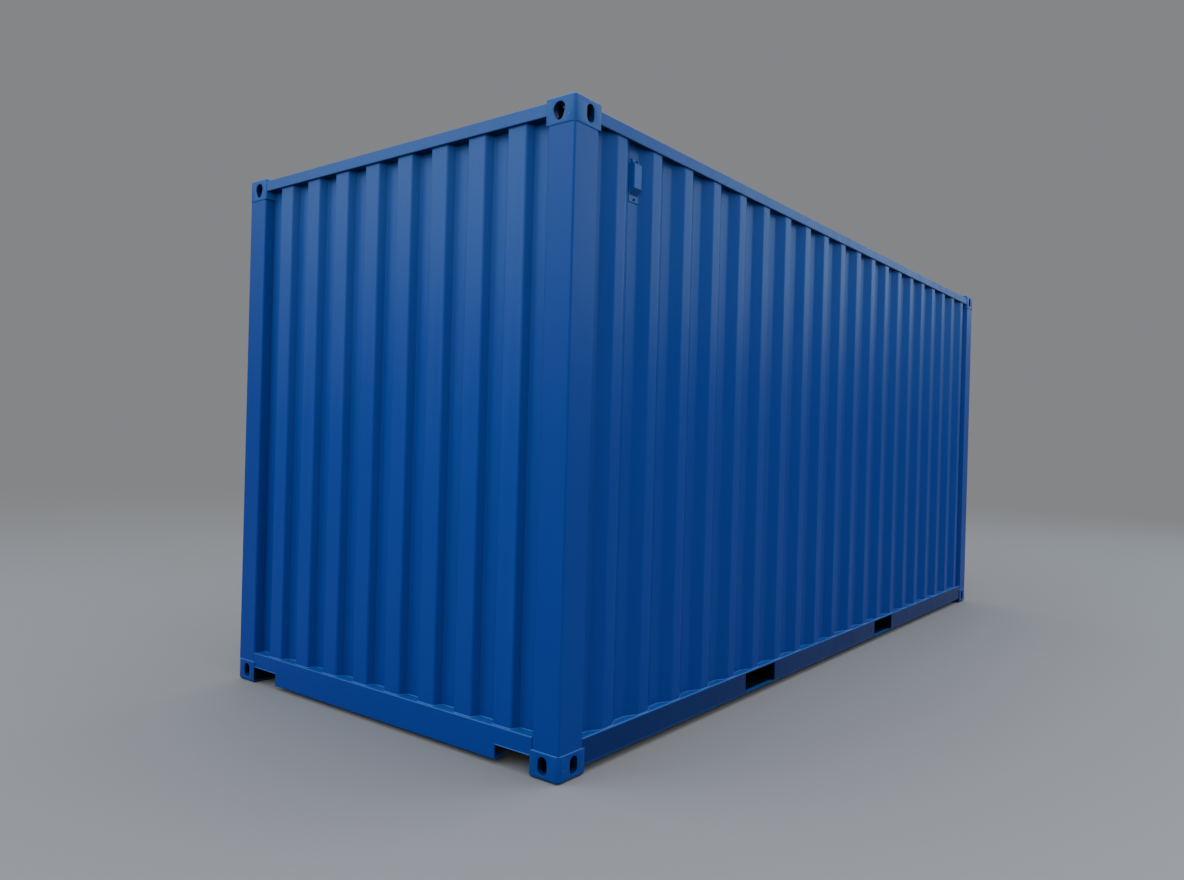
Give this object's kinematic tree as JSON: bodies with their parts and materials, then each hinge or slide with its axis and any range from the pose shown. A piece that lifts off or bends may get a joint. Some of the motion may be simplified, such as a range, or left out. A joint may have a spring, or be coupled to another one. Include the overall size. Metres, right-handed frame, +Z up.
{
  "type": "high-cube dry freight shipping container",
  "caption": "Steel high-cube freight container with corrugated walls, corner castings, fork pockets, plywood floor and closed double doors with lock rods",
  "frame": {"origin": "centre of the footprint, on the underside of the bottom corner castings", "axes": "+X along the container towards the doors, +Z up, +Y to the right as seen facing the doors"},
  "size_m": [6.058, 2.438, 2.896],
  "materials": {
    "frame_paint": "sprayed semi-gloss topcoat on welded steel",
    "casting_paint": "sprayed topcoat on cast steel, slightly rough",
    "wall_paint": "sprayed semi-gloss topcoat on pressed sheet",
    "roof_paint": "sprayed topcoat on stamped sheet",
    "door_paint": "sprayed semi-gloss topcoat on welded tube and sheet",
    "underframe_paint": "matt wax undercoat on steel",
    "lock_gear": "hot-dip galvanised",
    "hinge_steel": "sprayed topcoat on forged steel",
    "door_gasket": "extruded rubber",
    "floor_plywood": "hardwood plywood, oiled",
    "vent_hood": "moulded hood painted with the wall"
  },
  "bodies": {
    "root": {"bottom_side_rail_left": "frame_paint", "bottom_side_rail_right": "frame_paint", "cam_keepers": "lock_gear", "casting_bottom_front_left": "casting_paint", "casting_bottom_front_right": "casting_paint", "casting_bottom_rear_left": "casting_paint", "casting_bottom_rear_right": "casting_paint", "casting_top_front_left": "casting_paint", "casting_top_front_right": "casting_paint", "casting_top_rear_left": "casting_paint", "casting_top_rear_right": "casting_paint", "corner_post_front_left": "frame_paint", "corner_post_front_right": "frame_paint", "corner_post_rear_left": "frame_paint", "corner_post_rear_right": "frame_paint", "door_frame_left": "door_paint", "door_frame_right": "door_paint", "door_gasket_left": "door_gasket", "door_gasket_right": "door_gasket", "door_handles_left": "lock_gear", "door_handles_right": "lock_gear", "door_header": "frame_paint", "door_panel_left": "door_paint", "door_panel_right": "door_paint", "door_sill": "frame_paint", "floor_boards": "floor_plywood", "floor_cross_members": "underframe_paint", "fork_pocket_front": "underframe_paint", "fork_pocket_rear": "underframe_paint", "front_bottom_rail": "frame_paint", "front_top_rail": "frame_paint", "front_wall": "wall_paint", "handle_catches": "lock_gear", "hinge_blades": "hinge_steel", "hinge_lugs": "hinge_steel", "lock_rod_left_inner": "lock_gear", "lock_rod_left_outer": "lock_gear", "lock_rod_right_inner": "lock_gear", "lock_rod_right_outer": "lock_gear", "rod_brackets": "lock_gear", "roof_corner_plates": "roof_paint", "roof_panel": "roof_paint", "side_wall_left": "wall_paint", "side_wall_right": "wall_paint", "top_side_rail_left": "frame_paint", "top_side_rail_right": "frame_paint", "ventilator_left": "vent_hood", "ventilator_right": "vent_hood"}
  },
  "joints": []
}
